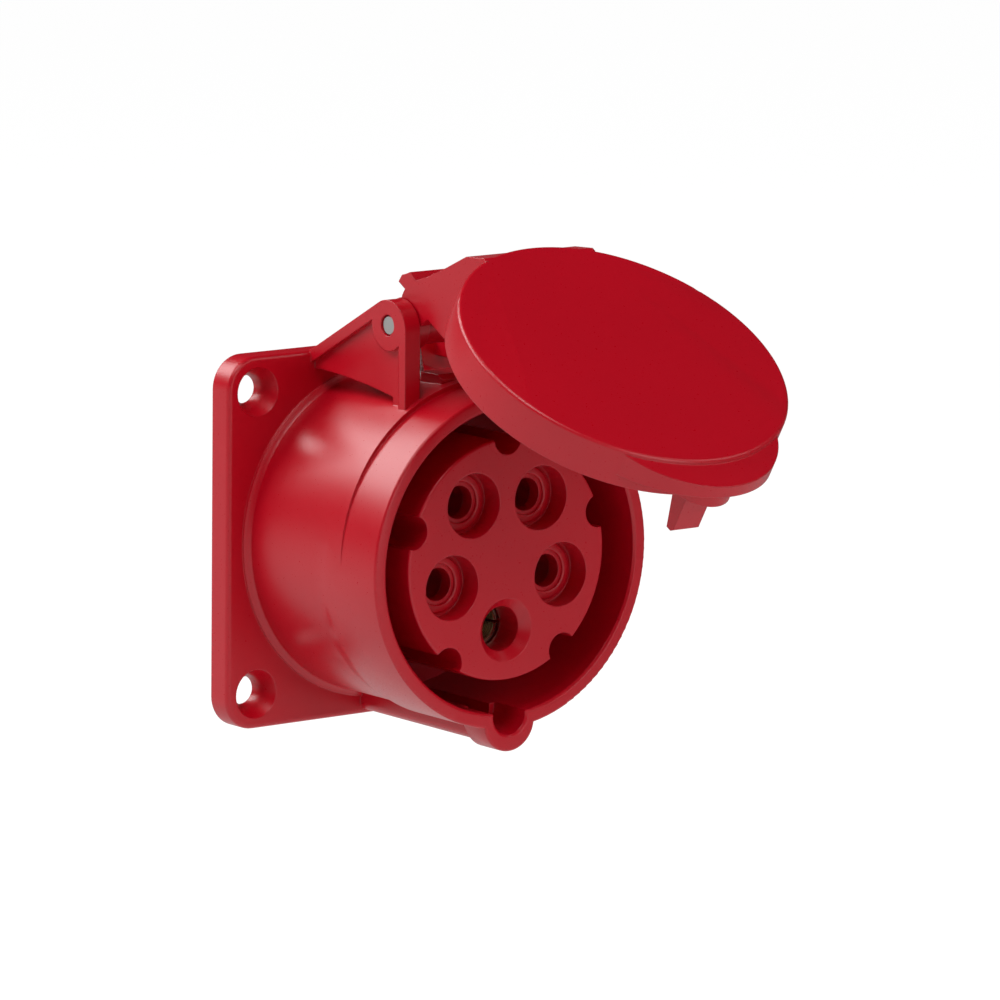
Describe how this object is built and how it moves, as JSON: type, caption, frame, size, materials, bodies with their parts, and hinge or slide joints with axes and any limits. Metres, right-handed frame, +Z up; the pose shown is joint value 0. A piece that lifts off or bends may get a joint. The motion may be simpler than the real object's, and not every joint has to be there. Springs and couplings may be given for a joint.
{
  "type": "panel socket",
  "caption": "Square-flanged industrial panel socket with a round keyed shroud, round insert with contact holes and a sprung hinged lid held open.",
  "frame": {"origin": "centre of the flange's back face, on the socket's axis", "axes": "+Z up, -Y out of the socket's mouth, +X to the right as seen from the front"},
  "size_m": [0.074, 0.1292, 0.0996],
  "materials": {
    "red_plastic": "satin moulded",
    "block_plastic": "satin moulded",
    "rubber": "moulded",
    "pin_steel": "drawn",
    "spring_steel": "drawn",
    "screw_steel": "zinc plated",
    "plated_brass": "turned and nickel plated"
  },
  "bodies": {
    "socket": {"housing": "red_plastic", "hinge_pin": "pin_steel", "lid_spring": "spring_steel", "contact_carrier": "red_plastic", "carrier_holder": "block_plastic", "carrier_seal": "rubber", "carrier_screws": "screw_steel", "terminal_block": "block_plastic", "block_screws": "screw_steel", "contact_line_1": "plated_brass", "contact_line_2": "plated_brass", "contact_line_3": "plated_brass", "contact_neutral": "plated_brass", "contact_earth": "plated_brass", "ring_line_1": "spring_steel", "ring_line_2": "spring_steel", "ring_line_3": "spring_steel", "ring_neutral": "spring_steel", "ring_earth": "spring_steel", "terminal_screws": "screw_steel", "flange_gasket": "rubber"},
    "lid": {"lid": "red_plastic", "lid_seal": "rubber"}
  },
  "joints": [
    {"name": "lid_hinge", "type": "hinge", "parent": "socket", "child": "lid", "pos_m": [0, -0.0302, 0.0452], "axis": [-1, 0, 0], "range_deg": [-59.5, 45], "stiffness_Nm_per_rad": 0.008, "springref_deg": -80.21, "deforming": ["lid_spring"]}
  ]
}
